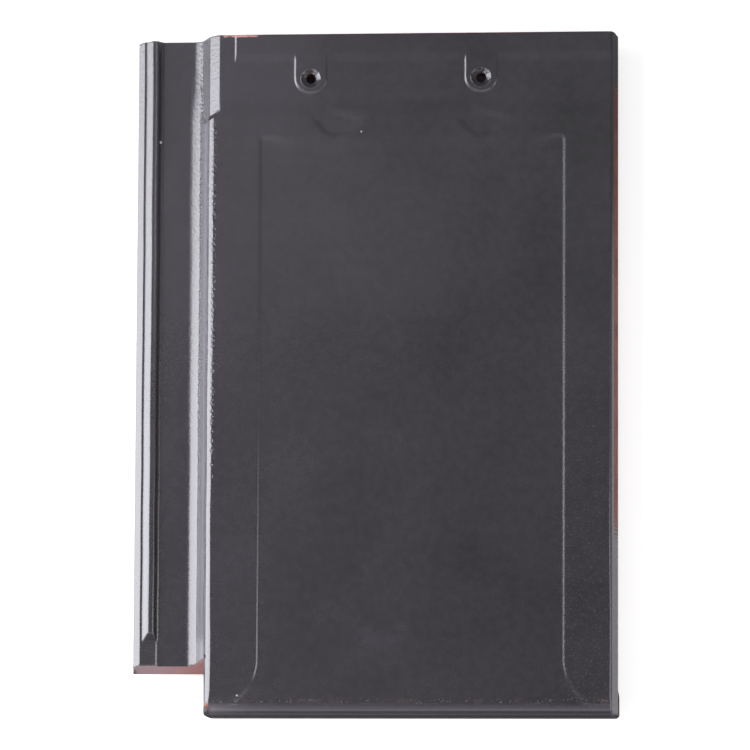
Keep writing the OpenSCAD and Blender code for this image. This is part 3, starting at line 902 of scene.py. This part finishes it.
# Painted highlights and a painted reflection as a lighter colour: the nose band, the corner by the chip, the
# steep step and the lower right edge.
glaze = tree.mix(attribute("nose_highlight") * 0.55, glaze, cloud_and_highlight_grey)
glaze = tree.mix(attribute("corner_highlight") * 0.8, glaze, corner_highlight_grey)
glaze = tree.mix(attribute("step_reflection") * 0.55, glaze, step_reflection_grey)
glaze = tree.mix(attribute("right_edge_highlight") * 0.5, glaze, edge_highlight_grey)
pimples = spot(14.6, 358.5, 17, 1.2) + spot(66.4, 12.8, 29.3, 1.0) + spot(141.2, 362.2, 29.6, 0.9) * 0.6
glaze = tree.mix(pimples, glaze, pimple_white)
print("nodes after the glaze:", len(finish.node_tree.nodes))

# %% Clay colours
clay_red = linear(128, 80, 72)
clay_light = linear(148, 102, 92)
grain_dark = linear(104, 62, 56)
cut_grey = linear(144, 128, 135)
cut_pink = linear(166, 118, 117)
head_clay = linear(84, 48, 50)
pale_clay = linear(194, 142, 136)
fresh_clay = linear(158, 92, 68)
shaded_bore_clay = linear(84, 52, 58)

clay_colour = tree.mix(tree.step(patch, 0.3, 0.7), clay_red, clay_light)
clay_colour = tree.mix(tree.step(grain, 0.55, 0.75) * 0.5, clay_colour, grain_dark)
cut_colour = tree.mix(tree.step(across_tile, -0.15, -0.105), cut_grey, cut_pink)
clay_colour = tree.mix(attribute("cut_end") * 0.85, clay_colour, cut_colour)
clay_colour = tree.mix(tree.step(up_slope, 0.06, 0.17) * 0.7, clay_colour, head_clay)
clay_colour = tree.mix(attribute("pale"), clay_colour, pale_clay)
colour = tree.mix(clay, glaze, clay_colour)
colour = tree.mix(chipped, colour, fresh_clay)
# Painted shade: the bore is painted a darker clay colour than the clay elsewhere.
colour = tree.mix(attribute("inside_bore"), colour, shaded_bore_clay)
print("nodes after the clay:", len(finish.node_tree.nodes))

# %% [markdown]
# ## Gloss and orange peel
# Gloss comes from two layers: the body of the glaze and a clear coat over it. Both are broken up by
# orange peel, the fine waviness of sprayed glaze, which is strongest near the head. There a highlight no
# longer has a straight edge but a beaded one. A second, plain shader without gloss is mixed in where the
# dull mask is set; its darker colour is painted shade.

# %% Gloss and bump
toward_head = tree.step(up_slope, -0.12, 0.16)
glaze_rough = 0.21 + 0.13 * toward_head + 0.10 * (fine - 0.5)
matt_share = tree.node("ShaderNodeMath", {"operation": "MAXIMUM"}, {0: clay, 1: chipped})
rough = glaze_rough + matt_share * (0.85 - glaze_rough)
coat = (1 - matt_share) * 0.7
peel = tree.noise(place, 480, 1, 0.5)
beady = attribute("sloped") * (0.25 + toward_head)
peel_share = 0.1 + 0.1 * low_right + 0.8 * beady
fine_share = 0.02 + 0.03 * low_right + 0.25 * beady
height = peel * peel_share + fine * fine_share + grain * matt_share * 0.7
height = height + (tree.noise(place, 430, 1, 0.4) - 0.5) * attribute("edge_beads") * 7
bump = tree.node("ShaderNodeBump", None, {"Strength": 0.6, "Distance": 0.0004, "Height": height})
sockets = {"Base Color": colour, "Roughness": rough, "Coat Weight": coat, "Coat Roughness": 0.18,
           "IOR": 1.6, "Normal": bump}
glossy = tree.node("ShaderNodeBsdfPrincipled", None, sockets)
# Painted shade: the plain shader's glaze colour is pulled 60 percent of the way to near black.
painted_shade_grey = linear(22, 21, 23)
dull_and_shaded_colour = tree.mix(clay, tree.mix(0.6, glaze, painted_shade_grey), clay_colour)
sockets = {"Base Color": dull_and_shaded_colour, "Roughness": 0.75, "Specular IOR Level": 0.15, "Normal": bump}
plain = tree.node("ShaderNodeBsdfPrincipled", None, sockets)
both = tree.node("ShaderNodeMixShader", None, {0: dull_and_shaded, 1: glossy, 2: plain})
tree.node("ShaderNodeOutputMaterial", None, {"Surface": both})
tile_mesh.materials.append(finish)
print("nodes in the finish:", len(finish.node_tree.nodes))
